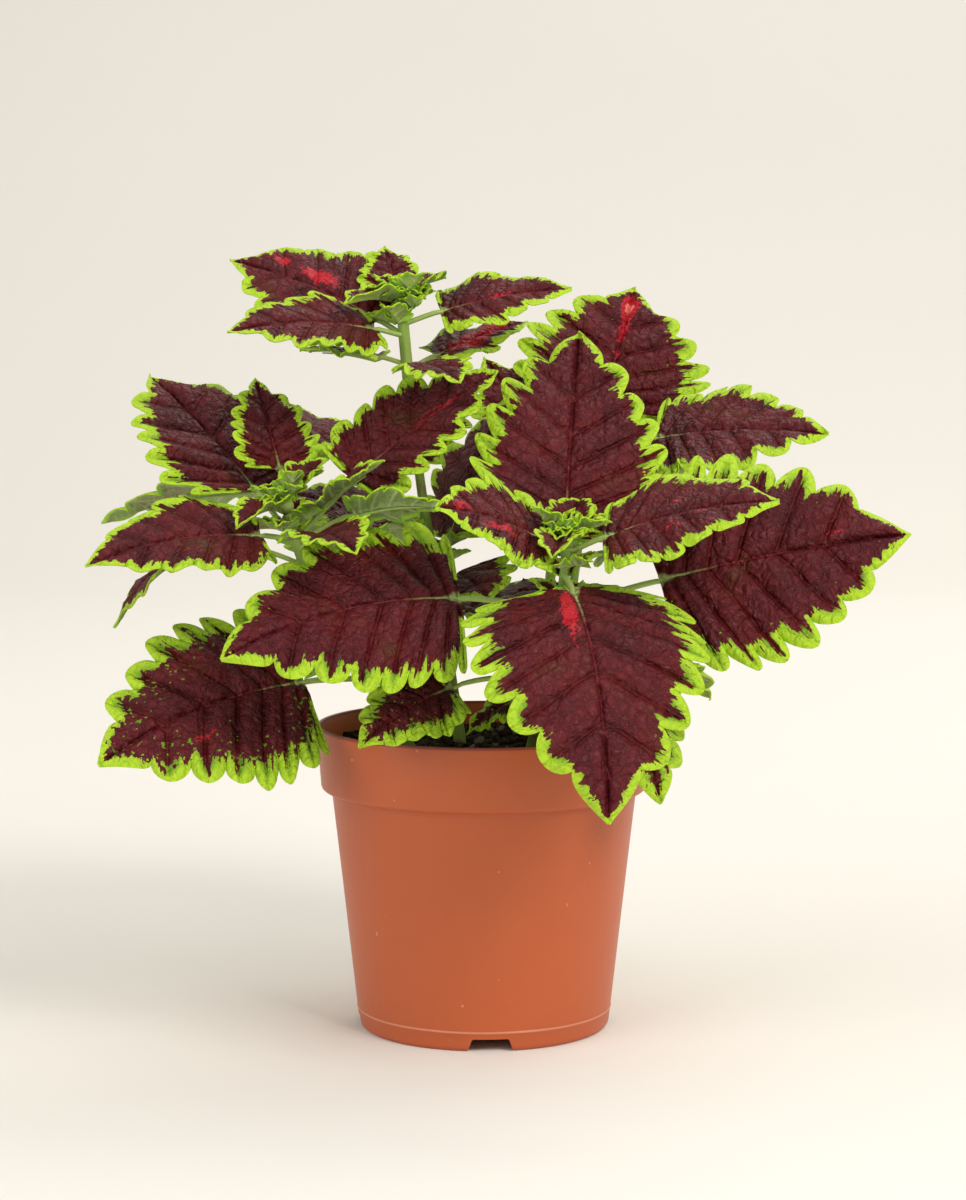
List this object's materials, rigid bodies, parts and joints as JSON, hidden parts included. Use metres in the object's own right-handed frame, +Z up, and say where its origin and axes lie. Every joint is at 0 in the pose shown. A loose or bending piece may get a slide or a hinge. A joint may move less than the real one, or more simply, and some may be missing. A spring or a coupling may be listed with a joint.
{
  "type": "potted coleus",
  "caption": "Bushy coleus with maroon, lime-edged scalloped leaves in a round terracotta-coloured plastic nursery pot filled with peat.",
  "frame": {"origin": "on the pot's vertical axis, at the surface that the pot stands on, which is also the centre of the plant's spread", "axes": "+Z up along the pot's axis, -Y towards the plant's broad front, +X to its right seen from the front"},
  "size_m": [0.294, 0.2328, 0.28],
  "materials": {
    "pot_plastic": "satin terracotta-coloured polypropylene",
    "peat": null,
    "stem": "soft green stem skin; leather stands in for plant skin",
    "leaf": "satin, quilted maroon blade with a lime margin; leather stands in for plant skin",
    "bud": "satin young lime leaves; leather stands in for plant skin"
  },
  "bodies": {
    "root": {"bud_back_left": "bud", "bud_back_right": "bud", "bud_front": "bud", "bud_left": "bud", "bud_right": "bud", "bud_top": "bud", "leaf_front_left": "leaf", "leaf_front_left_big": "leaf", "leaf_front_low": "leaf", "leaf_front_rear": "leaf", "leaf_front_right": "leaf", "leaf_front_right_big": "leaf", "leaf_left_edge": "leaf", "leaf_left_front": "leaf", "leaf_left_inner": "leaf", "leaf_left_out": "leaf", "leaf_left_rear": "leaf", "leaf_left_side": "leaf", "leaf_left_under": "leaf", "leaf_left_up": "leaf", "leaf_low_front": "leaf", "leaf_low_inner": "leaf", "leaf_low_left": "leaf", "leaf_low_right": "leaf", "leaf_low_side": "leaf", "leaf_mid_back": "leaf", "leaf_mid_front": "leaf", "leaf_mid_inner": "leaf", "leaf_mid_left": "leaf", "leaf_mid_low": "leaf", "leaf_rear_left_down": "leaf", "leaf_rear_left_in": "leaf", "leaf_rear_left_out": "leaf", "leaf_rear_left_up": "leaf", "leaf_rear_low_left": "leaf", "leaf_rear_low_right": "leaf", "leaf_rear_right_down": "leaf", "leaf_rear_right_in": "leaf", "leaf_rear_right_out": "leaf", "leaf_rear_right_up": "leaf", "leaf_right_back": "leaf", "leaf_right_inner": "leaf", "leaf_right_out": "leaf", "leaf_right_rear": "leaf", "leaf_top_left_front": "leaf", "leaf_top_left_rear": "leaf", "leaf_top_low_front": "leaf", "leaf_top_low_left": "leaf", "leaf_top_low_right": "leaf", "leaf_top_rear": "leaf", "leaf_top_right": "leaf", "peat": "peat", "pot": "pot_plastic", "stem_back_left": "stem", "stem_back_right": "stem", "stem_front": "stem", "stem_left": "stem", "stem_right": "stem", "stem_top": "stem"}
  },
  "joints": []
}
